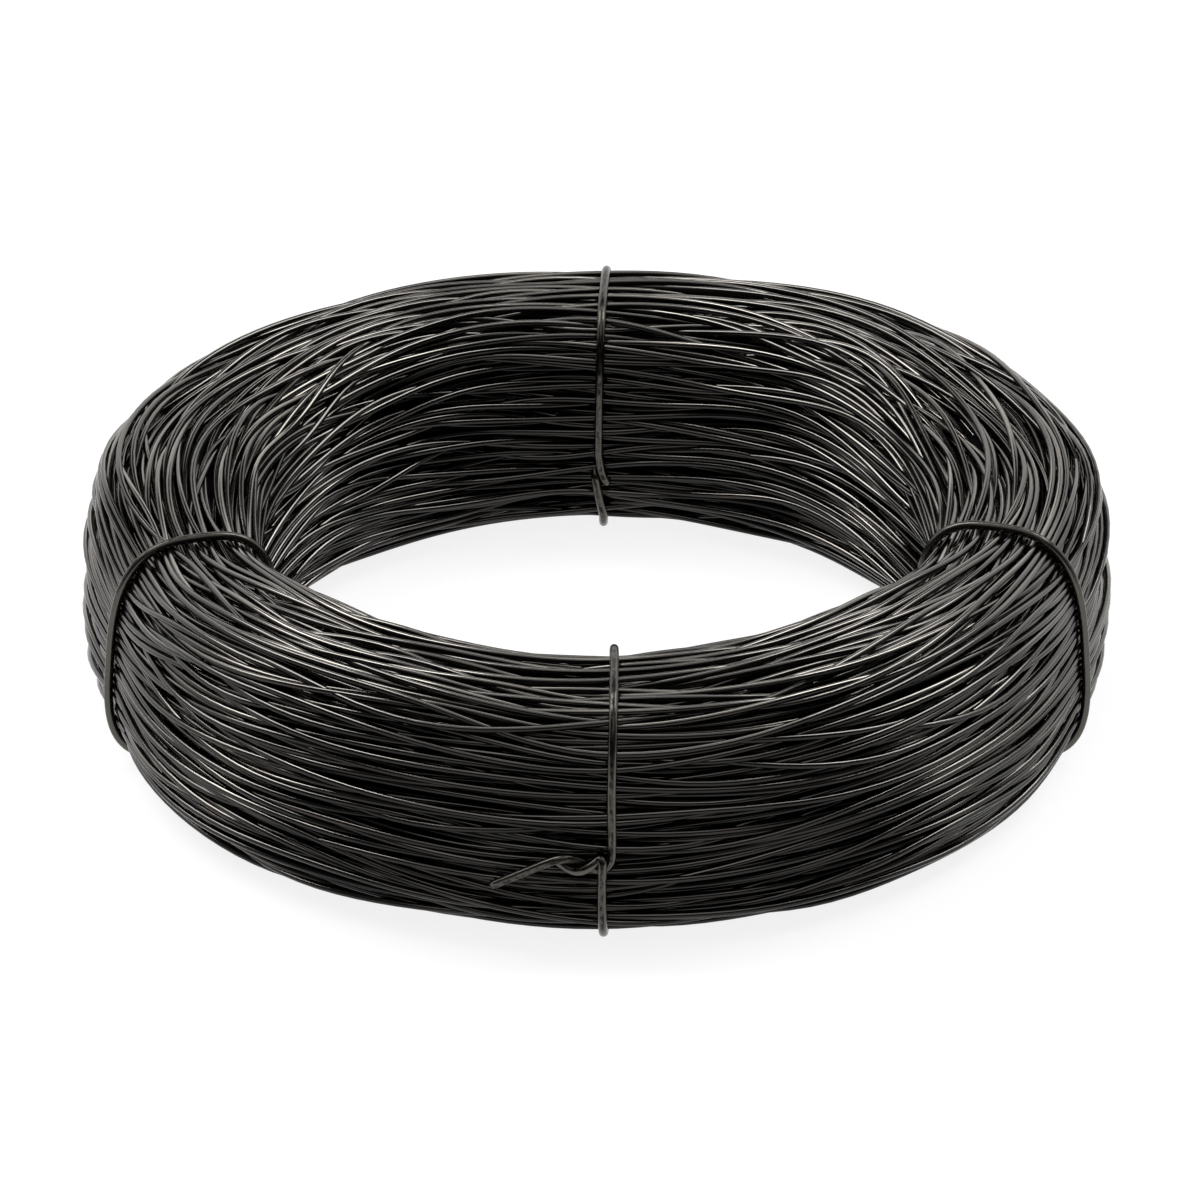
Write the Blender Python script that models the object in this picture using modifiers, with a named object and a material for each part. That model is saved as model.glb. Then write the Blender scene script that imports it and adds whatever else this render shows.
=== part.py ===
"""A coil of black annealed binding wire, lying flat, held by four wire ties.

The coil is one turned ring whose skin carries the ridges of its turns. Each tie
is one length of thicker wire, wrapped once round the ring's section, with its
two ends crossed and twisted together. Metres, +Z up, the floor at z = 0.
"""

import math

import bmesh
import bpy
from mathutils import Vector

# Coil of wire
BORE_DIAMETER = 0.165
COIL_WIDTH = 0.0425
COIL_HEIGHT = 0.060
OUTER_CORNER = 0.018
BORE_CORNER = 0.014

# Ridges that the turns leave on the coil's skin
RIDGE_PITCH = 0.0039
RIDGE_DEPTH = 0.0011
RIDGE_CREST_SHARE = 0.5
COIL_STEPS = 38

# Tie wire
TIE_GAUGE = 0.0022
SEAT_GAP = 0.0003
STRAND_GAP = 0.0003
CORNER_STEPS = 7
TIE_BEVEL_RESOLUTION = 2

# Knot of a tie, where its two ends cross and twist together
KNOT_HEIGHT_OUTSIDE = 0.0235
KNOT_HEIGHT_IN_BORE = 0.0155
LEG_LENGTH = 0.0095
LEG_STEPS = 2
TWIST_START = 0.0027
TWIST_PHASE = math.radians(60)
TWIST_STEPS_PER_TURN = 12
LONG_TWIST = 0.0097
LONG_TWIST_TURNS = 0.75
LONG_TAIL = 0.013
LONG_TAIL_SLOPE = math.radians(-27)
LONG_TAIL_SINK = 0.0012
SHORT_TWIST = 0.004
SHORT_TWIST_TURNS = 0.25
SHORT_TAIL = 0.002
SHORT_TAIL_SLOPE = math.radians(-5)
SHORT_TAIL_SINK = 0

# How far the front tie's wrap strays sideways, halfway round the section
FRONT_LEAN = 0.004

# Each tie: name, angle round the coil, stray of its wrap, and whether its knot is a long one outside
TIES = (
    ("tie_front", math.radians(-89.4), FRONT_LEAN, True),
    ("tie_right", math.radians(-15), 0, False),
    ("tie_back", math.radians(89), 0, False),
    ("tie_left", math.radians(196), 0, False),
)

BORE_RADIUS = BORE_DIAMETER / 2
OUTER_RADIUS = BORE_RADIUS + COIL_WIDTH
TIE_RADIUS = TIE_GAUGE / 2
COIL_BASE = TIE_GAUGE + SEAT_GAP
COIL_TOP = COIL_BASE + COIL_HEIGHT
# A tie lies this far off the coil, centre to skin
TIE_OFFSET = TIE_RADIUS + SEAT_GAP
# Two strands that touch lie this far apart, centre to centre
STRAND_SPACING = TIE_GAUGE + STRAND_GAP


def clear_scene():
    for old in list(bpy.data.objects):
        bpy.data.objects.remove(old, do_unlink=True)


def steel(name, colour, roughness, metallic):
    """Black annealed steel wire: a dark oxide skin with a soft gloss."""
    material = bpy.data.materials.new(name)
    material.use_nodes = True
    shader = material.node_tree.nodes["Principled BSDF"]
    shader.inputs["Base Color"].default_value = (*colour, 1.0)
    shader.inputs["Roughness"].default_value = roughness
    shader.inputs["Metallic"].default_value = metallic
    return material


def section_runs(bore_radius):
    """The coil's section as straight runs and corners, from the top of its outer side, downwards.

    A run is (length, start, direction) and a corner is (length, centre, radius, start angle).
    """
    outer_line = OUTER_RADIUS - OUTER_CORNER
    bore_line = bore_radius + BORE_CORNER
    across = outer_line - bore_line
    quarter = math.pi / 2
    return (
        ("run", COIL_HEIGHT - 2 * OUTER_CORNER, (OUTER_RADIUS, COIL_TOP - OUTER_CORNER), (0, -1)),
        ("corner", OUTER_CORNER * quarter, (outer_line, COIL_BASE + OUTER_CORNER), OUTER_CORNER, 0),
        ("run", across, (outer_line, COIL_BASE), (-1, 0)),
        ("corner", BORE_CORNER * quarter, (bore_line, COIL_BASE + BORE_CORNER), BORE_CORNER, -quarter),
        ("run", COIL_HEIGHT - 2 * BORE_CORNER, (bore_radius, COIL_BASE + BORE_CORNER), (0, 1)),
        ("corner", BORE_CORNER * quarter, (bore_line, COIL_TOP - BORE_CORNER), BORE_CORNER, math.pi),
        ("run", across, (bore_line, COIL_TOP), (1, 0)),
        ("corner", OUTER_CORNER * quarter, (outer_line, COIL_TOP - OUTER_CORNER), OUTER_CORNER, quarter),
    )


def section_length(runs):
    return sum(run[1] for run in runs)


def section_point(runs, distance, offset):
    """Radius and height of the point that far round the section and that far off its skin."""
    distance = distance % section_length(runs)
    for run in runs:
        if distance <= run[1]:
            break
        distance -= run[1]
    if run[0] == "run":
        (radius, height), (along_r, along_z) = run[2], run[3]
        outward_r = -along_z
        outward_z = along_r
        return (
            radius + along_r * distance + outward_r * offset,
            height + along_z * distance + outward_z * offset,
        )
    (centre_r, centre_z), corner, start = run[2], run[3], run[4]
    angle = start - distance / corner
    reach = corner + offset
    return centre_r + reach * math.cos(angle), centre_z + reach * math.sin(angle)


def coil_profile():
    """The ridged outline of the coil's section, closed, down its outer side first."""
    runs = section_runs(BORE_RADIUS)
    length = section_length(runs)
    ridges = round(length / RIDGE_PITCH)
    pitch = length / ridges
    flank = pitch * (1 - RIDGE_CREST_SHARE) / 2
    points = []
    for ridge in range(ridges):
        start = ridge * pitch
        points.append(section_point(runs, start, -RIDGE_DEPTH))
        points.append(section_point(runs, start + flank, 0))
        points.append(section_point(runs, start + pitch - flank, 0))
    return points


def build_coil(collection, material):
    """One turned solid: the ridged section, swept round the coil's axis."""
    mesh = bpy.data.meshes.new("wire_coil")
    outline = bmesh.new()
    ring = [outline.verts.new((radius, 0, height)) for radius, height in coil_profile()]
    for index, vertex in enumerate(ring):
        outline.edges.new((vertex, ring[(index + 1) % len(ring)]))
    outline.to_mesh(mesh)
    outline.free()
    coil = bpy.data.objects.new("wire_coil", mesh)
    collection.objects.link(coil)
    coil.data.materials.append(material)
    turn = coil.modifiers.new("turn", "SCREW")
    turn.axis = "Z"
    turn.angle = math.tau
    turn.screw_offset = 0
    turn.steps = COIL_STEPS
    turn.render_steps = COIL_STEPS
    turn.use_merge_vertices = True
    turn.merge_threshold = 0.00001
    turn.use_smooth_shade = True
    return coil


def smooth_through(points, steps):
    """Points along a smooth curve through the given ones, with the ends kept."""
    curve = [points[0]]
    for index in range(len(points) - 1):
        before = points[max(index - 1, 0)]
        start = points[index]
        end = points[index + 1]
        after = points[min(index + 2, len(points) - 1)]
        for step in range(1, steps + 1):
            share = step / steps
            curve.append(
                0.5
                * (
                    2 * start
                    + (end - before) * share
                    + (2 * before - 5 * start + 4 * end - after) * share**2
                    + (3 * start - before - 3 * end + after) * share**3
                )
            )
    return curve


def twist_strand(phase, twist_length, turns):
    """One strand of the twist: (sideways, up, off the skin), from the legs outwards."""
    radius = STRAND_SPACING / 2
    steps = round(turns * TWIST_STEPS_PER_TURN)
    strand = []
    for step in range(steps + 1):
        share = step / steps
        angle = phase - math.tau * turns * share
        strand.append(
            Vector(
                (
                    -TWIST_START - twist_length * share,
                    radius * math.sin(angle),
                    TIE_OFFSET + radius + radius * math.cos(angle),
                )
            )
        )
    return strand


def front_leg():
    """The strand that lifts off the coil, passes over the other one and turns into the twist."""
    lifted = TIE_OFFSET + STRAND_SPACING
    return [
        Vector((0, -LEG_LENGTH, TIE_OFFSET)),
        Vector((0, -LEG_LENGTH / 2, TIE_OFFSET + STRAND_SPACING * 0.62)),
        Vector((0, -TIE_GAUGE * 0.9, lifted)),
        Vector((-TIE_GAUGE * 0.14, TIE_GAUGE * 0.3, lifted)),
        Vector((-TIE_GAUGE * 0.6, TIE_GAUGE * 0.62, lifted - TIE_GAUGE * 0.08)),
    ]


def back_leg():
    """The strand that turns sideways behind the other one, close on the coil."""
    return [
        Vector((STRAND_SPACING, LEG_LENGTH, TIE_OFFSET)),
        Vector((STRAND_SPACING, LEG_LENGTH / 2, TIE_OFFSET)),
        Vector((STRAND_SPACING * 0.96, TIE_GAUGE * 0.8, TIE_OFFSET)),
        Vector((STRAND_SPACING * 0.55, -TIE_GAUGE * 0.25, TIE_OFFSET)),
        Vector((-TIE_GAUGE * 0.25, -TIE_GAUGE * 0.55, TIE_OFFSET + TIE_GAUGE * 0.08)),
    ]


def tie_strands(outside):
    """Both ends of the tie, from its wrap to their tips: the front strand and the back one."""
    if outside:
        twist_length, turns = LONG_TWIST, LONG_TWIST_TURNS
        tail, slope, sink = LONG_TAIL, LONG_TAIL_SLOPE, LONG_TAIL_SINK
    else:
        twist_length, turns = SHORT_TWIST, SHORT_TWIST_TURNS
        tail, slope, sink = SHORT_TAIL, SHORT_TAIL_SLOPE, SHORT_TAIL_SINK
    strands = []
    for leg, phase in ((front_leg(), TWIST_PHASE), (back_leg(), TWIST_PHASE + math.pi)):
        twist = twist_strand(phase, twist_length, turns)
        strands.append(smooth_through(leg + [twist[0]], LEG_STEPS) + twist[1:])
    tail_start = strands[1][-1]
    for share in (0.35, 1.0):
        along = tail * share
        strands[1].append(tail_start + Vector((-along, along * math.tan(slope), -sink * share)))
    return strands


def wrap_stations(runs):
    """Distances round the section at which the tie's line bends or a corner is stepped."""
    stations = []
    reached = 0
    for run in runs:
        steps = CORNER_STEPS if run[0] == "corner" else 1
        stations += [reached + run[1] * step / steps for step in range(steps)]
        reached += run[1]
    return stations


def tie_route(lean, outside):
    """The tie's centre line from one tip, once round the coil's section, to the other tip."""
    # The bore's flat facets lie a little inside its true circle
    runs = section_runs(BORE_RADIUS * math.cos(math.pi / COIL_STEPS))
    length = section_length(runs)
    if outside:
        facing = 1
        knot_radius = OUTER_RADIUS
        knot = COIL_HEIGHT - OUTER_CORNER - KNOT_HEIGHT_OUTSIDE
    else:
        facing = -1
        knot_radius = BORE_RADIUS
        knot = section_length(runs[:4]) + KNOT_HEIGHT_IN_BORE - BORE_CORNER

    def place(sideways, up, off):
        radius, height = section_point(runs, knot - facing * up, off)
        angle = facing * sideways / knot_radius
        return Vector((radius * math.cos(angle), radius * math.sin(angle), height))

    wrap = []
    for station in sorted(facing * (station - knot) % length for station in wrap_stations(runs)):
        if LEG_LENGTH < station < length - LEG_LENGTH:
            share = (station - LEG_LENGTH) / (length - 2 * LEG_LENGTH)
            stray = STRAND_SPACING * share + lean * math.sin(math.pi * share)
            wrap.append(Vector((stray, -station, TIE_OFFSET)))
    front_strand, back_strand = tie_strands(outside)
    return [place(*point) for point in list(reversed(front_strand)) + wrap + back_strand]


def build_tie(collection, material, name, angle, lean, outside):
    """One tie: a bevelled line through its route, turned to its place round the coil."""
    curve = bpy.data.curves.new(name, "CURVE")
    curve.dimensions = "3D"
    curve.twist_mode = "MINIMUM"
    curve.bevel_depth = TIE_RADIUS
    curve.bevel_resolution = TIE_BEVEL_RESOLUTION
    curve.use_fill_caps = True
    route = tie_route(lean, outside)
    spline = curve.splines.new("POLY")
    spline.points.add(len(route) - 1)
    for point, place in zip(spline.points, route):
        point.co = (*place, 1)
    spline.use_smooth = True
    tie = bpy.data.objects.new(name, curve)
    collection.objects.link(tie)
    tie.data.materials.append(material)
    tie.rotation_euler.z = angle
    return tie


def main():
    clear_scene()
    collection = bpy.data.collections.new("binding_wire_coil")
    bpy.context.scene.collection.children.link(collection)
    coil_steel = steel("black_annealed_wire", (0.055, 0.054, 0.052), 0.42, 0.85)
    tie_steel = steel("black_annealed_tie_wire", (0.085, 0.082, 0.072), 0.5, 0.8)
    build_coil(collection, coil_steel)
    for tie in TIES:
        build_tie(collection, tie_steel, *tie)


main()
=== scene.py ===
"""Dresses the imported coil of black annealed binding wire: its turns, its four ties and the studio.

The turns are one continuous wire. It is laid turn by turn over the coil's section,
given the bends that hand-loosened wire has, and then relaxed until its turns lie
beside each other. Only the wire near the skin is made, over a dark core.
Metres, +Z up, the floor at z = 0, the coil's axis on z.
"""

import math

import bpy
import numpy as np
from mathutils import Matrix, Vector


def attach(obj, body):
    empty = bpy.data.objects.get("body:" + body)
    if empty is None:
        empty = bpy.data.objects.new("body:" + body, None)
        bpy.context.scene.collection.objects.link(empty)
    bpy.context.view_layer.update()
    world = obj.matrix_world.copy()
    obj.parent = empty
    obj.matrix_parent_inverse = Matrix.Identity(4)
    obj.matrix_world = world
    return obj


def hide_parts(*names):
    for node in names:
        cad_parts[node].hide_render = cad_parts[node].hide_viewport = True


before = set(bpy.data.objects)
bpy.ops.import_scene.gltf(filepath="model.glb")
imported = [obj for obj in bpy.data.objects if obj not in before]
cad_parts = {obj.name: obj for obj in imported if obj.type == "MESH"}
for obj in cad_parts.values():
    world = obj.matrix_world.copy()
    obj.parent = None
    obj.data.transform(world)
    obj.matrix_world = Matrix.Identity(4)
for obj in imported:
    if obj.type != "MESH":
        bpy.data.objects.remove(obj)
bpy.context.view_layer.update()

bl_info = {
    "name": "Coil of Binding Wire",
    "version": (1, 0, 0),
    "blender": (4, 5, 0),
    "location": "View3D > Sidebar > Wire Coil",
    "description": "Makes the turns, the ties and the studio of a coil of black annealed binding wire",
    "category": "Object",
}

TAU = 2 * math.pi

# Places round the coil at which the winding is worked out
SLICES = 144
# Radius of the turns in the middle of the section
MIDDLE_RADIUS = 0.104

# Each tie: node, degrees from +X, stray of its wrap, knot, how hard it pinches the coil,
# and how far it draws the coil's top down
TIES = (
    ("tie_front", -89.4, 0.0040, "long_knot", 0.4, 0.0012),
    ("tie_right", -15.0, 0.0, "tucked_knot", 1.0, 0.0034),
    ("tie_back", 89.4, 0.0010, "tucked_knot", 0.3, 0.0004),
    ("tie_left", 196.0, 0.0, "tucked_knot", 1.0, 0.0056),
)
# How far round the coil a tie's pinch reaches, in radians
PINCH_REACH = 0.24
# How far a hard tie presses the coil's outer side inwards, and its bore outwards
PINCH_OUTSIDE = 0.0024
PINCH_BORE = 0.0006

# The section is a superellipse: its exponents above and below, and what a hard tie takes off them
SQUARE_ABOVE = 4.2
SQUARE_BELOW = 4.6
SQUARE_LOST = 1.3
# How far the section's top leans outwards, everywhere and more at a hard tie
LEAN = -0.0008
LEAN_AT_TIE = -0.0016

# Where the coil stands out or falls back: degrees, reach in radians, how far outwards, how far upwards
SWELLS = (
    (20, 0.50, 0.0012, 0.0),
    (4, 0.20, 0.0032, 0.0),
    (42, 0.32, 0.0, 0.0018),
    (53, 0.14, 0.0018, 0.0),
    (149, 0.14, 0.0018, 0.0),
    (172, 0.20, 0.0030, 0.0),
    (196, 0.14, -0.0018, 0.0),
    (-15, 0.14, -0.0016, 0.0),
    (-40, 0.28, -0.0016, 0.0),
)
# Dents of handling: waves round the coil, across the section and up it, and size.
# A dent of size 1 takes this share off the section.
DENTS = ((13, 0, 5, 1.0), (19, 2, -6, 1.0), (29, -3, 9, 0.7))
DENT_DEPTH = 0.009
# Where a turn that hung loose is pushed back up: degrees, reach in radians, its radius, its height,
# how far from there the push is felt, how far upwards
PUSHES = ((105, 0.12, 0.0875, 0.0064, 0.0016, 0.00045),)

# The winder's columns: the section's width over its height, and the exponent of how they fill it
COLUMN_SHARE = 0.70
COLUMN_SQUARE = 5
# Slow swirls of the whole bundle as it goes round: waves round the coil, phase, size in radians
SWIRLS = ((2, 0.6, 0.05), (3, 2.1, 0.04), (5, 4.0, 0.02))
# Drifts that neighbouring turns share: how many, how fine over the section,
# waves round the coil from the fewest to below the most, and size over the unit section
DRIFTS = 14
DRIFT_FINENESS = 3.2
DRIFT_WAVES = (2, 9)
DRIFT_SIZE = 0.035
# Shortest and longest bends of hand-loosened wire
SHORT_BEND = 0.080
LONG_BEND = 0.40

# Relaxing: rounds, rounds between two searches for neighbours, share of an overlap by which
# a round moves each of two turns, share of a bend that softening takes out,
# and the first share of the rounds, in which each one also softens the wire
RELAX_ROUNDS = 260
SEARCH_ROUNDS = 8
PUSH_SHARE = 0.425
SOFT_WEIGHT = 0.9
SOFT_SHARE = 0.8

# A stretch with fewer steps than this is neither left out between two others nor made alone
SHORT_RUN = 4
# Stretches that come nearer to the skin than this have eight sides, and the others six
ROUND_DEPTH = 0.0030

# The dark core: its depth under the outermost turns, corners round its section, height of its ridges
CORE_DEPTH = 0.0072
CORE_ROWS = 160
CORE_RIDGE = 0.0005

# A tie: how far its middle lies off the turns, in gauges, how far its foot is kept above the lowest turns,
# points on the section that it follows, steps of its wrap and between two points of a knot, and its sides
TIE_OFF = 0.45
TIE_FOOT = 0.0004
SECTION_STEPS = 720
WRAP_STEPS = 120
KNOT_STEPS = 5
TIE_SIDES = 16
# Length of the long free end, as the knot below has it
TAIL = 0.0155

# A knot's two strands, in millimetres: sideways, up, and off the coil's skin.
# Each begins where it leaves the wrap and ends at its tip.
KNOTS = {
    "long_knot": {
        "height": 0.0252,
        "facing": 1,
        "first": (
            (0.0, -9.5, 0.0), (0.0, -5.0, 0.6), (0.05, -1.3, 2.3), (0.05, 1.2, 2.3), (-0.35, 2.15, 1.7),
            (-1.1, 1.8, 1.6), (-2.4, 0.9, 2.2), (-4.2, -0.2, 2.3), (-5.9, -0.85, 1.6), (-7.7, -0.6, 0.8),
            (-9.2, 0.1, 0.15), (-10.2, 0.7, 0.0),
        ),
        "second": (
            (2.3, 9.5, 0.0), (2.3, 4.0, 0.0), (2.1, 1.3, 0.0), (1.2, -0.4, 0.0), (0.0, -1.2, 0.0),
            (-1.4, -1.1, 0.0), (-2.9, -0.3, 0.0), (-4.6, 0.9, 0.3), (-6.9, 2.1, 1.3), (-9.4, 2.4, 2.1),
            (-12.4, 1.25, 2.0), (-18.5, -2.3, 1.2), (-25.4, -6.4, 0.6),
        ),
    },
    "tucked_knot": {
        "height": 0.0185,
        "facing": -1,
        "first": (
            (0.9, -11.0, 0.0), (-0.1, -5.5, 0.0), (-0.9, -0.6, 0.0), (-1.15, 1.4, -0.5), (-1.0, 2.6, -2.2),
            (-0.2, 3.2, -4.2),
        ),
        "second": (
            (-0.3, 8.0, 0.0), (0.35, 3.8, 0.0), (1.05, 1.2, 0.0), (1.6, -0.2, -0.4), (1.7, -1.5, -2.0),
            (0.9, -2.3, -4.2),
        ),
    },
}

# The photograph's frame in pixels: its side, where the coil's middle lies in it, and its focal length
PHOTO_SIDE = 1200
PHOTO_MIDDLE = (596.2, 582.9)
PHOTO_FOCAL = 7836
# Width of the camera's sensor in millimetres
SENSOR = 36.0
# Height of the coil's middle over the floor, and of what the lamps point at
COIL_MIDDLE = 0.0325
LAMP_AIM = 0.03

# Each lamp: name, place, width and length, watts
LAMPS = (
    ("panel_in_front", (0.0, -0.80, 1.50), (1.8, 1.2), 4.1),
    ("softbox_above", (0.0, 0.45, 1.70), (1.3, 0.60), 5.8),
    ("softbox_left", (-0.95, 0.30, 1.40), (0.80, 1.20), 16.6),
    ("softbox_right", (0.95, 0.35, 1.40), (0.80, 1.00), 12.6),
    ("softbox_behind", (0.0, 2.10, 1.20), (2.2, 0.80), 2.7),
)


def linear(code):
    """The linear red, green and blue of an sRGB hex value."""
    channels = [(code >> shift & 255) / 255 for shift in (16, 8, 0)]
    return tuple(c / 12.92 if c <= 0.04045 else ((c + 0.055) / 1.055) ** 2.4 for c in channels)


def length_property(name, description, default, **more):
    return bpy.props.FloatProperty(
        name=name, description=description, default=default, unit="LENGTH", subtype="DISTANCE",
        precision=4, **more,
    )


def colour_property(name, description, code):
    return bpy.props.FloatVectorProperty(
        name=name, description=description, default=linear(code), subtype="COLOR", size=3, min=0, max=1
    )


class WireCoilTurns(bpy.types.PropertyGroup):
    """Sizes of the coil and of its wire."""

    gauge: length_property("Wire", "Diameter of the binding wire", 0.0016, min=0.0005)
    turns: bpy.props.IntProperty(name="Turns", description="Turns of wire in the coil", default=525, min=50)
    seed: bpy.props.IntProperty(name="Winding", description="Which winding of the wire is made", default=7)
    outer_radius: length_property("Outer radius", "Reach of the turns between two ties", 0.1255)
    bore_radius: length_property("Bore radius", "Radius of the bore between two ties", 0.0822)
    top: length_property("Top", "Height of the turns between two ties", 0.0640)
    base: length_property("Base", "Height of the lowest turns above the floor", 0.0018)
    wander: length_property("Wander", "How far a turn strays from its even place", 0.0023)
    shown_depth: length_property("Shown depth", "How deep under the skin turns are made", 0.0078)


class WireCoilTies(bpy.types.PropertyGroup):
    """Sizes of the ties."""

    gauge: length_property("Tie wire", "Diameter of the wire of the ties", 0.0022, min=0.0005)
    tail: length_property("Tail", "Length of the free end on the front tie", TAIL)


class WireCoilFinish(bpy.types.PropertyGroup):
    """Colours of the wires."""

    # Painted light and shade: the oxide skin's dark colour stays on a turn's flanks and underside, and a
    # lighter copy of it is painted on its upper side
    skin: colour_property("Oxide skin", "Black annealed skin on a turn's flanks and underside", 0x2F2E2D)
    painted_lit_skin: colour_property("Wiped skin", "The same skin on a turn's upper side, wiped of soot", 0x656360)
    worn: colour_property("Rubbed skin", "Where the skin is rubbed and steel starts to show", 0x8F8B85)
    rust: colour_property("Warm tint", "Thin brown film where the wire has begun to rust", 0x504741)
    tie: colour_property("Tie skin", "Skin of the wire of the ties", 0x575550)
    scale: colour_property("Tie scale", "Dark flakes of scale along the ties", 0x24221F)


class WireCoilStage(bpy.types.PropertyGroup):
    """The studio and the camera."""

    floor: colour_property("Floor", "Colour of the floor", 0x8A8A8A)
    distance: length_property("Camera distance", "From the middle of the coil to the camera", 1.927)
    elevation: bpy.props.FloatProperty(
        name="Camera elevation", description="Height of the camera above the horizon",
        default=math.radians(28.0), subtype="ANGLE", unit="ROTATION",
    )


def bump_round(theta, degrees, reach):
    """A soft bump round the coil, 1 at an angle and nearly gone two reaches away."""
    away = (theta - math.radians(degrees) + np.pi) % TAU - np.pi
    return np.exp(-((away / reach) ** 2))


def envelope(sizes):
    """The bundle's section at each slice: a leaning superellipse, flatter below, pinched at the ties."""
    theta = np.arange(SLICES) * TAU / SLICES
    pinch, drop, loose = np.zeros(SLICES), np.zeros(SLICES), np.ones(SLICES)
    for _, degrees, _, _, hardness, fall in TIES:
        near = bump_round(theta, degrees, PINCH_REACH)
        loose -= near
        pinch += hardness * near
        drop += fall * near
    swell = sum(outwards * bump_round(theta, degrees, reach) for degrees, reach, outwards, _ in SWELLS)
    rise = sum(upwards * bump_round(theta, degrees, reach) for degrees, reach, _, upwards in SWELLS)
    outer = sizes.outer_radius + swell - PINCH_OUTSIDE * pinch
    inner = sizes.bore_radius + PINCH_BORE * pinch
    top = sizes.top + rise - drop
    half = sizes.gauge / 2
    return {
        "theta": theta,
        "rc": (outer + inner) / 2,
        "zc": (top + sizes.base) / 2,
        "a": (outer - inner) / 2 - half,
        "b": (top - sizes.base) / 2 - half,
        "above": SQUARE_ABOVE - SQUARE_LOST * pinch,
        "below": SQUARE_BELOW - SQUARE_LOST * pinch,
        "lean": LEAN + LEAN_AT_TIE * pinch,
        "loose": loose,
    }


def section_place(u, v, env):
    """Radius and height of places over the unit section, slice by slice."""
    return env["rc"] + u * env["a"] + env["lean"] * v, env["zc"] + v * env["b"]


def section_outline(env, k, phi, a, b, bite=0):
    """Radius and height along the section at slice k, with its half width and half height.

    A bite lowers the exponent on its outer side, which rounds the corners there.
    """
    u, v = np.cos(phi), np.sin(phi)
    n = np.where(v > 0, env["above"][k], env["below"][k]) - bite * (u > 0)
    level = (np.abs(u) ** n + np.abs(v) ** n) ** (-1 / n)
    u, v = u * level, v * level
    return env["rc"][k] + u * a + env["lean"][k] * v, env["zc"][k] + v * b


def unevenness(u, v, env):
    """Share by which the bundle's skin falls back at each place between ties, from the dents of handling."""
    dents = sum(
        size * np.sin(count * env["theta"] + across * u + up * v) for count, across, up, size in DENTS
    )
    return DENT_DEPTH * env["loose"] * dents


def wire_noise(rng, count, shortest, longest, step):
    """Smooth noise along the wire, with bends between the two lengths, unit deviation."""
    frequency = np.fft.rfftfreq(count, step)
    power = np.zeros(len(frequency))
    band = (frequency > 1 / longest) & (frequency < 1 / shortest)
    power[band] = 1 / (frequency[band] * longest)
    spectrum = power * (rng.standard_normal(len(frequency)) + 1j * rng.standard_normal(len(frequency)))
    noise = np.fft.irfft(spectrum, count)
    return noise / noise.std()


def winding_order(turns):
    """Places of the turns over the unit section, in the order in which a winder lays them."""
    columns = int(round(math.sqrt(turns * COLUMN_SHARE)))
    across = (np.arange(columns) + 0.5) / columns * 2 - 1
    heights = (1 - np.abs(across) ** COLUMN_SQUARE) ** (1 / COLUMN_SQUARE)
    rows = np.maximum(2, np.round(turns * heights / heights.sum())).astype(int)
    while rows.sum() > turns:
        rows[np.argmax(rows)] -= 1
    while rows.sum() < turns:
        rows[np.argmax(heights / rows)] += 1
    places = []
    for column in range(columns):
        up = ((np.arange(rows[column]) + 0.5) / rows[column] * 2 - 1) * heights[column]
        if column % 2:
            up = up[::-1]
        places += [(across[column], value) for value in up]
    return np.array(places)


def start_paths(sizes, env):
    """The wire as wound: it steps on to its next place during each turn, and strays with its neighbours."""
    rng = np.random.default_rng(sizes.seed)
    base = winding_order(sizes.turns)
    # The last turn ends under its neighbours
    following = np.concatenate([base[1:], base[-1:] * 0.8])
    share = np.arange(SLICES) / SLICES
    place = base[:, None, :] * (1 - share)[None, :, None] + following[:, None, :] * share[None, :, None]
    u, v = place[..., 0], place[..., 1]
    theta = env["theta"][None, :]
    swirl = sum(size * np.sin(theta * count + phase) for count, phase, size in SWIRLS)
    # The bundle swirls less in its middle
    angle = swirl * (0.4 + 0.6 * np.hypot(u, v))
    u, v = u * np.cos(angle) - v * np.sin(angle), u * np.sin(angle) + v * np.cos(angle)
    for _ in range(DRIFTS):
        across, up = rng.normal(0, DRIFT_FINENESS, 2)
        waves = rng.integers(*DRIFT_WAVES)
        phase = rng.uniform(0, TAU, 2)
        # Quicker drifts are smaller
        amount = DRIFT_SIZE / math.sqrt(1 + waves / 3)
        field = across * u + up * v + waves * theta
        u = u + amount * np.sin(field + phase[0])
        v = v + amount * np.sin(field + phase[1])
    r, z = section_place(u, v, env)
    step = TAU * MIDDLE_RADIUS / SLICES
    for coordinate in (r, z):
        noise = wire_noise(rng, coordinate.size, SHORT_BEND, LONG_BEND, step)
        coordinate += noise.reshape(coordinate.shape) * sizes.wander
    return r, z


def section_level(r, z, env):
    """How far out each point lies, 1 on the envelope, with its place over the section."""
    v = (z - env["zc"]) / env["b"]
    u = (r - env["rc"] - env["lean"] * v) / env["a"]
    n = np.where(v > 0, env["above"], env["below"])
    return (np.abs(u) ** n + np.abs(v) ** n) ** (1 / n) * (1 + unevenness(u, v, env)), u, v


def confine(r, z, env):
    """Keeps every turn inside the envelope."""
    level, u, v = section_level(r, z, env)
    shrink = 1 / np.maximum(level, 1)
    return section_place(u * shrink, v * shrink, env)


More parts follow.
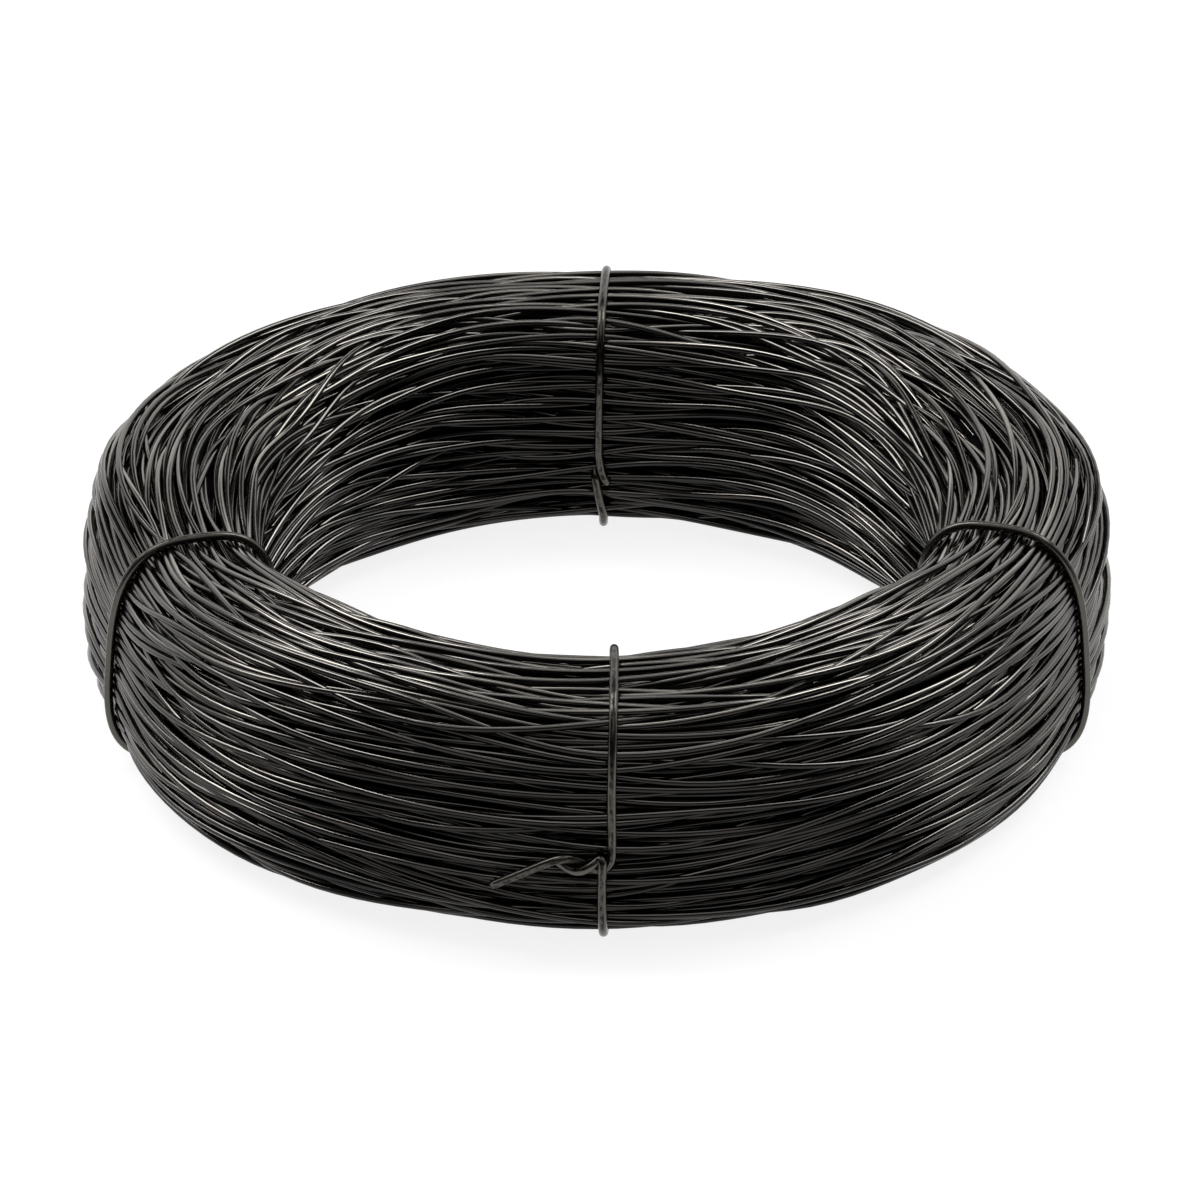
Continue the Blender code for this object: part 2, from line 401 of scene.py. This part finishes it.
def near_pairs(r, z, cutoff):
    """All pairs of turns nearer than the cutoff, slice by slice."""
    column = ((r - r.min()) / cutoff).astype(np.int64) + 1
    row = ((z - z.min()) / cutoff).astype(np.int64) + 1
    columns, rows = column.max() + 2, row.max() + 2
    cell = ((np.arange(SLICES)[None, :] * columns + column) * rows + row).ravel()
    order = np.argsort(cell, kind="stable")
    counts = np.bincount(cell, minlength=SLICES * columns * rows)
    starts = np.concatenate([[0], np.cumsum(counts)[:-1]])
    flat_r, flat_z = r.ravel(), z.ravel()
    everyone = np.arange(len(cell))
    firsts, seconds = [], []
    # A turn's own cell and half of the cells round it, so that each pair is met once
    for across, up in ((0, 0), (1, 0), (0, 1), (1, 1), (1, -1)):
        other = cell + across * rows + up
        for rank in range(counts.max()):
            has = counts[other] > rank
            i = everyone[has]
            j = order[starts[other[has]] + rank]
            if across == 0 and up == 0:
                once = j > i
                i, j = i[once], j[once]
            near = (flat_r[i] - flat_r[j]) ** 2 + (flat_z[i] - flat_z[j]) ** 2 < cutoff**2
            firsts.append(i[near])
            seconds.append(j[near])
    return np.concatenate(firsts), np.concatenate(seconds)


def soften(values, stride):
    """Takes bends of a few strides out of the one continuous wire and leaves longer ones alone."""
    flat = values.ravel()
    wide = np.pad(flat, 2 * stride, mode="edge")
    near = wide[stride : -3 * stride] + wide[3 * stride : -stride]
    far = wide[: -4 * stride] + wide[4 * stride :]
    soft = (10 * flat + 4 * near - far) / 16
    return (flat + (soft - flat) * SOFT_WEIGHT).reshape(values.shape)


def relax(r, z, env, gauge):
    """Pushes turns apart round by round, inside the envelope, and keeps the wire smooth."""
    for turn in range(RELAX_ROUNDS):
        if turn % SEARCH_ROUNDS == 0:
            i, j = near_pairs(r, z, gauge * 1.5)
        flat_r, flat_z = r.ravel(), z.ravel()
        dr, dz = flat_r[i] - flat_r[j], flat_z[i] - flat_z[j]
        apart = np.sqrt(dr * dr + dz * dz) + 1e-9
        push = np.maximum(gauge - apart, 0) / apart * PUSH_SHARE
        moved_r = flat_r + np.bincount(i, dr * push, r.size) - np.bincount(j, dr * push, r.size)
        moved_z = flat_z + np.bincount(i, dz * push, r.size) - np.bincount(j, dz * push, r.size)
        r, z = confine(moved_r.reshape(r.shape), moved_z.reshape(z.shape), env)
        if turn < RELAX_ROUNDS * SOFT_SHARE or turn % 3 == 0:
            stride = 1 + turn % 2
            r, z = soften(r, stride), soften(z, stride)
    for stride in (1, 2, 3, 1):
        r, z = soften(r, stride), soften(z, stride)
    return r, z


def push_up(r, z, env):
    """Lifts the turns that hung loose at the foot of the bore, so that no light shows over them."""
    for degrees, reach, radius, height, spread, lift in PUSHES:
        near = np.exp(-((r - radius) ** 2 + (z - height) ** 2) / spread**2)
        z = z + lift * near * bump_round(env["theta"], degrees, reach)
    return z


def depth_under_skin(r, z, env):
    """Distance of each point from the envelope, in metres."""
    level, u, v = section_level(r, z, env)
    n = np.where(v > 0, env["above"], env["below"])
    safe = np.maximum(level, 1e-6)
    slope_r = (np.abs(u) / safe) ** (n - 1) / env["a"]
    slope_z = (np.abs(v) / safe) ** (n - 1) / env["b"]
    return (1 - level) / np.maximum(np.hypot(slope_r, slope_z), 1e-6)


def runs_of(mask):
    """Start and end of each run of True."""
    edges = np.flatnonzero(np.diff(np.concatenate([[0], mask.astype(np.int8), [0]])))
    return list(zip(edges[::2], edges[1::2]))


def length_along(points):
    """Length of a line up to each of its points."""
    return np.concatenate([[0], np.cumsum(np.linalg.norm(np.diff(points, axis=0), axis=1))])


def direction_along(points):
    """Unit directions along a line."""
    tangent = np.gradient(points, axis=0)
    return tangent / np.linalg.norm(tangent, axis=1)[:, None]


def across_turn(points):
    """Two unit directions across a turn: away from the coil's axis, and up."""
    tangent = direction_along(points)
    outward = points * (1, 1, 0)
    outward -= tangent * (outward * tangent).sum(axis=1)[:, None]
    outward /= np.linalg.norm(outward, axis=1)[:, None]
    return outward, np.cross(tangent, outward)


def across_tie(points):
    """Two unit directions across a tie, carried along it without twist."""
    tangent = direction_along(points)
    normal = np.cross(tangent[0], (0, 0, 1.0))
    # Where it starts nearly upright, any level direction does
    if np.linalg.norm(normal) < 0.1:
        normal = np.cross(tangent[0], (1.0, 0, 0))
    normals = []
    for t in tangent:
        normal = normal - t * np.dot(normal, t)
        normal /= np.linalg.norm(normal)
        normals.append(normal)
    normals = np.array(normals)
    binormals = np.cross(tangent, normals)
    # The way round is counted from the side, so that a quarter of it faces away from the coil
    middle = len(points) // 2
    sideways = np.cross((0, 0, 1.0), points[middle])
    skew = math.atan2(np.dot(sideways, binormals[middle]), np.dot(sideways, normals[middle]))
    return (
        normals * math.cos(skew) + binormals * math.sin(skew),
        binormals * math.cos(skew) - normals * math.sin(skew),
    )


def tube_skin(points, across, radius, sides, along):
    """Corners and quads of a tube, and the way along and round it at each corner of each quad."""
    turn = np.arange(sides) * TAU / sides
    one, other = across
    ring = one[:, None, :] * np.cos(turn)[None, :, None] + other[:, None, :] * np.sin(turn)[None, :, None]
    corners = (points[:, None, :] + ring * radius).reshape(-1, 3)
    step, side = np.meshgrid(np.arange(len(points) - 1), np.arange(sides), indexing="ij")
    after = (side + 1) % sides
    here, onward = step * sides, (step + 1) * sides
    quads = np.stack([here + side, here + after, onward + after, onward + side], axis=-1).reshape(-1, 4)
    way = np.stack([along[step], along[step], along[step + 1], along[step + 1]], axis=-1).reshape(-1)
    around = np.stack([side, side + 1, side + 1, side], axis=-1).reshape(-1) / sides
    return corners, quads, way, around


def mesh_from_tubes(name, tubes, flat_ends=False):
    """One mesh of many closed tubes, each (points, directions across, radius, sides, way along)."""
    corners, loops, totals, smooth, way, around = [], [], [], [], [], []
    offset = 0
    for points, across, radius, sides, along in tubes:
        part, quads, part_way, part_around = tube_skin(points, across, radius, sides, along)
        first_end = np.arange(sides)[::-1]
        last_end = np.arange(len(part) - sides, len(part))
        corners.append(part)
        loops += [quads.ravel() + offset, first_end + offset, last_end + offset]
        totals += [np.full(len(quads), 4), [sides, sides]]
        smooth += [np.ones(len(quads), dtype=bool), [not flat_ends] * 2]
        way += [part_way, np.repeat(along[[0, -1]], sides)]
        around += [part_around, np.tile(np.arange(sides) / sides, 2)]
        offset += len(part)
    corners, loops, totals = (np.concatenate(item) for item in (corners, loops, totals))
    mesh = bpy.data.meshes.new(name)
    mesh.vertices.add(len(corners))
    mesh.vertices.foreach_set("co", corners.astype(np.float32).ravel())
    mesh.loops.add(len(loops))
    mesh.loops.foreach_set("vertex_index", loops.astype(np.int32))
    mesh.polygons.add(len(totals))
    mesh.polygons.foreach_set("loop_start", (np.cumsum(totals) - totals).astype(np.int32))
    mesh.update(calc_edges=True)
    mesh.polygons.foreach_set("use_smooth", np.concatenate(smooth))
    lay = mesh.attributes.new("wire_way", "FLOAT2", "CORNER")
    ways = np.stack([np.concatenate(way), np.concatenate(around)], axis=-1)
    lay.data.foreach_set("vector", ways.astype(np.float32).ravel())
    if mesh.validate():
        raise RuntimeError(f"{name} has faces that do not fit together")
    return mesh


def add_piece(name, mesh, slot_name, material, *nodes):
    """Adds a piece that rides on the coil's body and stands for the CAD nodes."""
    piece = bpy.data.objects.new(name, mesh)
    bpy.context.scene.collection.objects.link(piece)
    piece.data.materials.append(material)
    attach(piece, "root")
    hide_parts(*nodes)


def add_node(tree, kind, links=(), values=(), stops=(), **settings):
    """Adds a node. Settings are its properties and inputs by name, with _ for a space.

    Values are inputs by number, stops are a ramp's two greys, and links join inputs to other nodes.
    """
    node = tree.nodes.new(kind)
    for name, value in settings.items():
        if hasattr(node, name):
            setattr(node, name, value)
        else:
            node.inputs[name.replace("_", " ")].default_value = value
    for socket, value in values:
        node.inputs[socket].default_value = value
    if stops:
        for element, (position, grey) in zip(node.color_ramp.elements, stops):
            element.position = position
            element.color = (grey, grey, grey, 1)
    for socket, source in links:
        tree.links.new(source, node.inputs[socket])
    return node


def new_material(name, **settings):
    """A material, its nodes and its shader, with the shader's inputs set by name."""
    material = bpy.data.materials.new(name)
    material.use_nodes = True
    shader = material.node_tree.nodes["Principled BSDF"]
    for socket, value in settings.items():
        shader.inputs[socket.replace("_", " ")].default_value = value
    return material, material.node_tree, shader


def wire_coordinates(tree, gauge):
    """Metres along the wire and two across it, so that a pattern closes round the wire without a seam."""
    lay = add_node(tree, "ShaderNodeAttribute", attribute_name="wire_way")
    split = add_node(tree, "ShaderNodeSeparateXYZ", [("Vector", lay.outputs["Vector"])])
    turn = add_node(tree, "ShaderNodeMath", [(0, split.outputs["Y"])], [(1, TAU)], operation="MULTIPLY")
    across = []
    for operation in ("COSINE", "SINE"):
        wave = add_node(tree, "ShaderNodeMath", [(0, turn.outputs[0])], operation=operation)
        across.append(
            add_node(tree, "ShaderNodeMath", [(0, wave.outputs[0])], [(1, gauge / 2)], operation="MULTIPLY")
        )
    joined = add_node(
        tree, "ShaderNodeCombineXYZ",
        [("X", split.outputs["X"]), ("Y", across[0].outputs[0]), ("Z", across[1].outputs[0])],
    )
    return joined.outputs[0]


def stretched_noise(tree, place, long, wide, detail=2.0):
    """Noise whose grains are so many millimetres long and wide."""
    scale = (1000 / long, 1000 / wide, 1000 / wide)
    mapping = add_node(tree, "ShaderNodeMapping", [("Vector", place)], Scale=scale)
    noise = add_node(
        tree, "ShaderNodeTexNoise", [("Vector", mapping.outputs[0])], Scale=1.0, Detail=detail
    )
    return noise.outputs["Fac"]


def black_annealed_wire(finish, gauge):
    """Black annealed low-carbon steel, drawn and then baked in a furnace.

    The furnace leaves a dark oxide skin with a soft gloss. The skin is painted lighter where a turn
    faces upwards and left darker on its flanks and underside, as painted light and shade. The upper
    side is rubbed towards bare steel in long streaks. Drawing leaves faint lines along the wire.
    """
    material, tree, shader = new_material("black_annealed_steel_wire", Metallic=1.0)
    place = wire_coordinates(tree, gauge)
    # Warm patches 45 mm long and rubbed streaks 60 mm long. The skin's specks are some tenths of a
    # millimetre on real wire, and they are drawn 1.1 mm long so that they show.
    patches = stretched_noise(tree, place, 45, 3.0)
    streaks = stretched_noise(tree, place, 60, 1.6)
    specks = stretched_noise(tree, place, 1.1, 0.5)
    rubbed = add_node(tree, "ShaderNodeValToRGB", [("Fac", streaks)], stops=[(0.48, 0.0), (0.66, 1.0)])
    warm = add_node(tree, "ShaderNodeValToRGB", [("Fac", patches)], stops=[(0.55, 0.0), (0.72, 1.0)])
    # Painted light and shade: the skin is painted lighter where a turn's surface faces upwards, and the
    # rubbed streaks show only there
    facing = add_node(tree, "ShaderNodeTexCoord").outputs["Normal"]
    upward = add_node(tree, "ShaderNodeSeparateXYZ", [("Vector", facing)]).outputs["Z"]
    painted_lit_side = add_node(tree, "ShaderNodeValToRGB", [("Fac", upward)], stops=[(0.42, 0.0), (0.80, 1.0)])
    upper = add_node(
        tree, "ShaderNodeMix", [(0, rubbed.outputs[0])],
        [(6, (*finish.painted_lit_skin, 1)), (7, (*finish.worn, 1))], data_type="RGBA",
    )
    skin = add_node(
        tree, "ShaderNodeMix", [(0, painted_lit_side.outputs[0]), (7, upper.outputs[2])],
        [(6, (*finish.skin, 1))], data_type="RGBA",
    )
    tint = add_node(tree, "ShaderNodeMath", [(0, warm.outputs[0])], [(1, 0.35)], operation="MULTIPLY")
    tinted = add_node(
        tree, "ShaderNodeMix", [(0, tint.outputs[0]), (6, skin.outputs[2])],
        [(7, (*finish.rust, 1))], data_type="RGBA",
    )
    rough = add_node(
        tree, "ShaderNodeMapRange", [("Value", specks)],
        From_Min=0.3, From_Max=0.7, To_Min=0.12, To_Max=0.19,
    )
    relief = add_node(tree, "ShaderNodeMath", [(0, streaks), (1, specks)], operation="ADD")
    bump = add_node(
        tree, "ShaderNodeBump", [("Height", relief.outputs[0])], Strength=0.08, Distance=0.00005
    )
    tree.links.new(tinted.outputs[2], shader.inputs["Base Color"])
    tree.links.new(rough.outputs[0], shader.inputs["Roughness"])
    tree.links.new(bump.outputs[0], shader.inputs["Normal"])
    return material


def tie_wire(finish, gauge):
    """The same steel in a thicker gauge, its skin smoother and browner.

    The rolls that straightened it left two lines of dark scale and flakes along it, on opposite sides.
    """
    material, tree, shader = new_material("black_annealed_tie_wire", Metallic=1.0)
    place = wire_coordinates(tree, gauge)
    # Flakes of scale 1.6 mm long. Roller lines 12 mm long are drawn 0.5 mm wide, coarser than real
    # ones, so that they show.
    flakes = stretched_noise(tree, place, 1.6, 0.7, 3.0)
    lines = stretched_noise(tree, place, 12, 0.5)
    specks = add_node(tree, "ShaderNodeValToRGB", [("Fac", flakes)], stops=[(0.46, 0.3), (0.58, 1.0)])
    height = add_node(tree, "ShaderNodeSeparateXYZ", [("Vector", place)]).outputs["Z"]
    share = add_node(tree, "ShaderNodeMath", [(0, height)], [(1, 2 / gauge)], operation="MULTIPLY")
    crest = add_node(tree, "ShaderNodeMath", [(0, share.outputs[0])], operation="ABSOLUTE")
    band = add_node(
        tree, "ShaderNodeValToRGB", [("Fac", crest.outputs[0])], stops=[(0.82, 0.06), (0.96, 1.0)]
    )
    scaled = add_node(
        tree, "ShaderNodeMath", [(0, specks.outputs[0]), (1, band.outputs[0])], operation="MULTIPLY"
    )
    skin = add_node(
        tree, "ShaderNodeMix", [(0, scaled.outputs[0])],
        [(6, (*finish.tie, 1)), (7, (*finish.scale, 1))], data_type="RGBA",
    )
    rough = add_node(tree, "ShaderNodeMapRange", [("Value", flakes)], To_Min=0.18, To_Max=0.32)
    relief = add_node(tree, "ShaderNodeMath", [(0, flakes), (1, lines)], operation="ADD")
    bump = add_node(
        tree, "ShaderNodeBump", [("Height", relief.outputs[0])], Strength=0.25, Distance=0.00008
    )
    tree.links.new(skin.outputs[2], shader.inputs["Base Color"])
    tree.links.new(rough.outputs[0], shader.inputs["Roughness"])
    tree.links.new(bump.outputs[0], shader.inputs["Normal"])
    return material


def wire_in_shade():
    """Black annealed wire too deep to catch the light, painted nearly black as its shade, and nearly matt.
    """
    material, tree, shader = new_material("black_annealed_wire_in_shade", Roughness=0.6, Metallic=1.0)
    place = add_node(tree, "ShaderNodeTexCoord").outputs["Object"]
    # Patches of about 5.5 mm
    noise = add_node(tree, "ShaderNodeTexNoise", [("Vector", place)], Scale=180.0, Detail=2.0)
    colour = add_node(
        tree, "ShaderNodeValToRGB", [("Fac", noise.outputs["Fac"])], stops=[(0.3, 0.004), (0.7, 0.012)]
    )
    tree.links.new(colour.outputs[0], shader.inputs["Base Color"])
    return material


class WIRECOIL_OT_wind_turns(bpy.types.Operator):
    """Winds the wire and makes every stretch of it that lies near the skin"""

    bl_idname = "wire_coil.wind_turns"
    bl_label = "Wind the turns"

    def execute(self, context):
        sizes = context.scene.wire_coil_turns
        env = envelope(sizes)
        r, z = start_paths(sizes, env)
        r, z = relax(r, z, env, sizes.gauge)
        z = push_up(r, z, env)
        depth = depth_under_skin(r, z, env).ravel()
        _, u, v = section_level(r, z, env)
        u, v = u.ravel(), v.ravel()
        theta = np.broadcast_to(env["theta"], r.shape).ravel()
        r, z = r.ravel(), z.ravel()
        places = np.stack([r * np.cos(theta), r * np.sin(theta), z], axis=-1)
        along = length_along(places)
        shown = depth < sizes.shown_depth
        for start, end in runs_of(~shown):
            if end - start < SHORT_RUN:
                shown[start:end] = True
        faces = {"turns_top": [], "turns_outside": [], "turns_underside": [], "turns_bore": []}
        for start, end in runs_of(shown):
            if end - start < SHORT_RUN:
                continue
            # Each stretch runs on for one step, so that it ends inside the core
            start, end = max(start - 1, 0), min(end + 1, len(shown))
            sides = 8 if depth[start:end].min() < ROUND_DEPTH else 6
            points = places[start:end]
            tube = (points, across_turn(points), sizes.gauge / 2, sides, along[start:end])
            across, up = u[start:end].mean(), v[start:end].mean()
            if abs(up) > abs(across):
                name = "turns_top" if up > 0 else "turns_underside"
            else:
                name = "turns_outside" if across > 0 else "turns_bore"
            faces[name].append(tube)
        material = black_annealed_wire(context.scene.wire_coil_finish, sizes.gauge)
        for name, tubes in faces.items():
            add_piece(name, mesh_from_tubes(name, tubes), "annealed_wire", material, "wire_coil")
        return {"FINISHED"}


class WIRECOIL_OT_lay_core(bpy.types.Operator):
    """Makes the dark ridged core that closes the coil under the turns that are made"""

    bl_idname = "wire_coil.lay_core"
    bl_label = "Lay the core"

    def execute(self, context):
        env = envelope(context.scene.wire_coil_turns)
        phi = np.arange(CORE_ROWS) * TAU / CORE_ROWS
        ridge = CORE_RIDGE * (np.arange(CORE_ROWS) % 2)
        # Every other slice is enough for the core
        slices = range(0, SLICES, 2)
        corners = []
        for k in slices:
            a, b = env["a"][k] - CORE_DEPTH, env["b"][k] - CORE_DEPTH
            radius, height = section_outline(env, k, phi, a + ridge, b + ridge)
            angle = env["theta"][k]
            corners.append(np.stack([radius * np.cos(angle), radius * np.sin(angle), height], axis=-1))
        faces = []
        for step in range(len(slices)):
            here, after = step * CORE_ROWS, (step + 1) % len(slices) * CORE_ROWS
            for row in range(CORE_ROWS):
                onward = (row + 1) % CORE_ROWS
                faces.append((here + row, after + row, after + onward, here + onward))
        mesh = bpy.data.meshes.new("coil_core")
        mesh.from_pydata(np.concatenate(corners).tolist(), [], faces)
        mesh.polygons.foreach_set("use_smooth", np.ones(len(faces), dtype=bool))
        mesh.update()
        add_piece("coil_core", mesh, "annealed_wire", wire_in_shade(), "wire_coil")
        return {"FINISHED"}


def curve_through(points, steps):
    """A smooth line through points, as an array."""
    points = [np.array(p, dtype=float) for p in points]
    curve = [points[0]]
    for k in range(len(points) - 1):
        before, start, end = points[max(k - 1, 0)], points[k], points[k + 1]
        after = points[min(k + 2, len(points) - 1)]
        for step in range(1, steps + 1):
            s = step / steps
            curve.append(
                0.5
                * (
                    2 * start
                    + (end - before) * s
                    + (2 * before - 5 * start + 4 * end - after) * s**2
                    + (3 * start - before - 3 * end + after) * s**3
                )
            )
    return np.array(curve)


def held_section(sizes, degrees, bite):
    """Line of a tie's wrap from the middle of the outer side and downwards, and its normals.

    It follows the skin of the pinched bundle, and bites a little into its outer corners.
    """
    env = envelope(sizes)
    k = int(round((math.radians(degrees) % TAU) / TAU * SLICES)) % SLICES
    a, b = env["a"][k] + sizes.gauge / 2, env["b"][k] + sizes.gauge / 2
    phi = -np.arange(SECTION_STEPS) * TAU / SECTION_STEPS
    radius, height = section_outline(env, k, phi, a, b, bite)
    line = np.stack([radius, np.maximum(height, sizes.base + TIE_FOOT)], axis=-1)
    tangent = np.roll(line, -1, axis=0) - np.roll(line, 1, axis=0)
    tangent /= np.linalg.norm(tangent, axis=1)[:, None]
    return line, np.stack([-tangent[:, 1], tangent[:, 0]], axis=-1)


def tie_route(line, normal, degrees, lean, knot, ties):
    """Points of a tie: up one strand of its knot, once round the section, and out along the other strand."""
    length = length_along(line)
    total = length[-1] + np.linalg.norm(line[0] - line[-1])
    stations = np.append(length, total)
    facing = knot["facing"]
    side = facing * (line[:, 0] - MIDDLE_RADIUS) > 0
    knot_at = length[np.argmin(np.where(side, np.abs(line[:, 1] - knot["height"]), 1))]
    knot_radius = line[side][:, 0].max() if facing > 0 else line[side][:, 0].min()

    def place(sideways, up, off):
        """A point of the tie, from metres sideways, up and off the skin at the knot."""
        spot = (knot_at - facing * up) % total
        here = [np.interp(spot, stations, np.append(values, values[0])) for values in (*line.T, *normal.T)]
        lift = ties.gauge * TIE_OFF + off
        radius, height = here[0] + here[2] * lift, here[1] + here[3] * lift
        angle = math.radians(degrees) + facing * sideways / knot_radius
        return (radius * math.cos(angle), radius * math.sin(angle), height)

    first = [[value / 1000 for value in point] for point in knot["first"]]
    second = [[value / 1000 for value in point] for point in knot["second"]]
    if facing > 0:
        second[-1][0] -= ties.tail - TAIL
    (from_side, down, _), (to_side, up, _) = first[0], second[0]
    wrap = []
    for share in np.linspace(0, 1, WRAP_STEPS + 1)[1:-1]:
        sideways = from_side + (to_side - from_side) * share + lean * math.sin(math.pi * share) ** 2
        wrap.append((sideways, down - share * (total - (up - down)), 0))
    start, end = (curve_through(strand, KNOT_STEPS) for strand in (first, second))
    return np.array([place(*point) for point in (*start[::-1], *wrap, *end)])


class WIRECOIL_OT_bend_ties(bpy.types.Operator):
    """Wraps each tie round the coil's section and twists its ends together"""

    bl_idname = "wire_coil.bend_ties"
    bl_label = "Bend the ties"

    def execute(self, context):
        sizes = context.scene.wire_coil_turns
        ties = context.scene.wire_coil_ties
        material = tie_wire(context.scene.wire_coil_finish, ties.gauge)
        for node, degrees, lean, knot_name, hardness, _ in TIES:
            line, normal = held_section(sizes, degrees, 1 - hardness)
            points = tie_route(line, normal, degrees, lean, KNOTS[knot_name], ties)
            tube = (points, across_tie(points), ties.gauge / 2, TIE_SIDES, length_along(points))
            name = node + "_wire"
            add_piece(name, mesh_from_tubes(name, [tube], flat_ends=True), "tie_wire", material, node)
        return {"FINISHED"}


def seen_by_eye(tree):
    """1 for what the camera sees, straight or in a gloss or through glass, and 0 for other light."""
    path = add_node(tree, "ShaderNodeLightPath")
    seen = path.outputs["Is Camera Ray"]
    for ray in ("Is Glossy Ray", "Is Transmission Ray"):
        either = add_node(tree, "ShaderNodeMath", [(0, seen), (1, path.outputs[ray])], operation="MAXIMUM")
        seen = either.outputs[0]
    return seen


def add_sheet(name, corners, faces, material):
    """Adds a smooth sheet to the stage."""
    mesh = bpy.data.meshes.new(name)
    mesh.from_pydata(corners, [], faces)
    mesh.polygons.foreach_set("use_smooth", np.ones(len(faces), dtype=bool))
    sheet = bpy.data.objects.new(name, mesh)
    bpy.context.scene.collection.objects.link(sheet)
    sheet.data.materials.append(material)


class WIRECOIL_OT_set_stage(bpy.types.Operator):
    """Lays the floor, hangs the softboxes and sets up the camera"""

    bl_idname = "wire_coil.set_stage"
    bl_label = "Set the stage"

    def execute(self, context):
        stage = context.scene.wire_coil_stage
        scene = context.scene
        # White paper: matt, and lifted to white for the eye alone
        material, tree, shader = new_material(
            "white_paper_backdrop", Base_Color=(*stage.floor, 1), Roughness=0.9, Specular_IOR_Level=0.0,
            Emission_Color=(1, 1, 1, 1),
        )
        lift = add_node(tree, "ShaderNodeMapRange", [("Value", seen_by_eye(tree))], To_Max=0.86)
        tree.links.new(lift.outputs[0], shader.inputs["Emission Strength"])
        rim, wall, tall, rows, columns = 6.0, 2.6, 2.0, 12, 48
        corners = [(-rim, -rim, 0), (rim, -rim, 0), (rim, rim, 0), (-rim, rim, 0)]
        add_sheet("floor", corners, [(0, 1, 2, 3)], material)
        # The backdrop stands behind the coil and a little more than half round it, just off the floor
        corners, faces = [], []
        for column in range(columns + 1):
            angle = math.radians(-10 + 200 * column / columns)
            for row in range(rows + 1):
                corners.append((wall * math.cos(angle), wall * math.sin(angle), 0.001 + tall * row / rows))
        for column in range(columns):
            for row in range(rows):
                here = column * (rows + 1) + row
                faces.append((here, here + 1, here + rows + 2, here + rows + 1))
        add_sheet("backdrop", corners, faces, material)

        world = bpy.data.worlds.new("studio")
        scene.world = world
        world.use_nodes = True
        background = world.node_tree.nodes["Background"]
        background.inputs["Color"].default_value = (1, 1, 1, 1)
        background.inputs["Strength"].default_value = 0.06

        for name, spot, size, watts in LAMPS:
            data = bpy.data.lights.new(name, "AREA")
            data.shape = "RECTANGLE"
            data.size, data.size_y = size
            data.energy = watts
            lamp = bpy.data.objects.new(name, data)
            scene.collection.objects.link(lamp)
            lamp.visible_camera = False
            lamp.location = spot
            aim = Vector((0, 0, LAMP_AIM)) - Vector(spot)
            lamp.rotation_euler = aim.to_track_quat("-Z", "Y").to_euler()

        camera = bpy.data.objects.new("camera", bpy.data.cameras.new("camera"))
        scene.collection.objects.link(camera)
        camera.location = Vector((0, 0, COIL_MIDDLE)) + Vector(
            (0, -stage.distance * math.cos(stage.elevation), stage.distance * math.sin(stage.elevation))
        )
        camera.rotation_euler = (math.pi / 2 - stage.elevation, 0, 0)
        camera.data.sensor_width = SENSOR
        camera.data.lens = SENSOR * PHOTO_FOCAL / PHOTO_SIDE
        camera.data.shift_x = (PHOTO_SIDE / 2 - PHOTO_MIDDLE[0]) / PHOTO_SIDE
        camera.data.shift_y = -(PHOTO_SIDE / 2 - PHOTO_MIDDLE[1]) / PHOTO_SIDE
        camera.data.clip_end = 30
        scene.camera = camera
        scene.view_settings.view_transform = "Standard"
        return {"FINISHED"}


class WIRECOIL_PT_sidebar(bpy.types.Panel):
    """Lists the coil's sizes, its colours and the steps that build it"""

    bl_idname = "WIRECOIL_PT_sidebar"
    bl_label = "Coil of Binding Wire"
    bl_space_type = "VIEW_3D"
    bl_region_type = "UI"
    bl_category = "Wire Coil"

    def draw(self, context):
        for group, steps in PANEL_ROWS:
            box = self.layout.box()
            values = getattr(context.scene, group)
            for name in values.bl_rna.properties.keys():
                if name not in ("rna_type", "name"):
                    box.prop(values, name)
            for step in steps:
                box.operator(step.bl_idname)


GROUPS = {
    "wire_coil_turns": WireCoilTurns,
    "wire_coil_ties": WireCoilTies,
    "wire_coil_finish": WireCoilFinish,
    "wire_coil_stage": WireCoilStage,
}
PANEL_ROWS = (
    ("wire_coil_turns", (WIRECOIL_OT_wind_turns, WIRECOIL_OT_lay_core)),
    ("wire_coil_ties", (WIRECOIL_OT_bend_ties,)),
    ("wire_coil_finish", ()),
    ("wire_coil_stage", (WIRECOIL_OT_set_stage,)),
)
CLASSES = (
    *GROUPS.values(),
    WIRECOIL_OT_wind_turns,
    WIRECOIL_OT_lay_core,
    WIRECOIL_OT_bend_ties,
    WIRECOIL_OT_set_stage,
    WIRECOIL_PT_sidebar,
)


def register():
    for item in CLASSES:
        bpy.utils.register_class(item)
    for name, group in GROUPS.items():
        setattr(bpy.types.Scene, name, bpy.props.PointerProperty(type=group))


def unregister():
    for name in GROUPS:
        delattr(bpy.types.Scene, name)
    for item in reversed(CLASSES):
        bpy.utils.unregister_class(item)


def main():
    register()
    bpy.ops.wire_coil.wind_turns()
    bpy.ops.wire_coil.lay_core()
    bpy.ops.wire_coil.bend_ties()
    bpy.ops.wire_coil.set_stage()


if __name__ == "__main__":
    main()
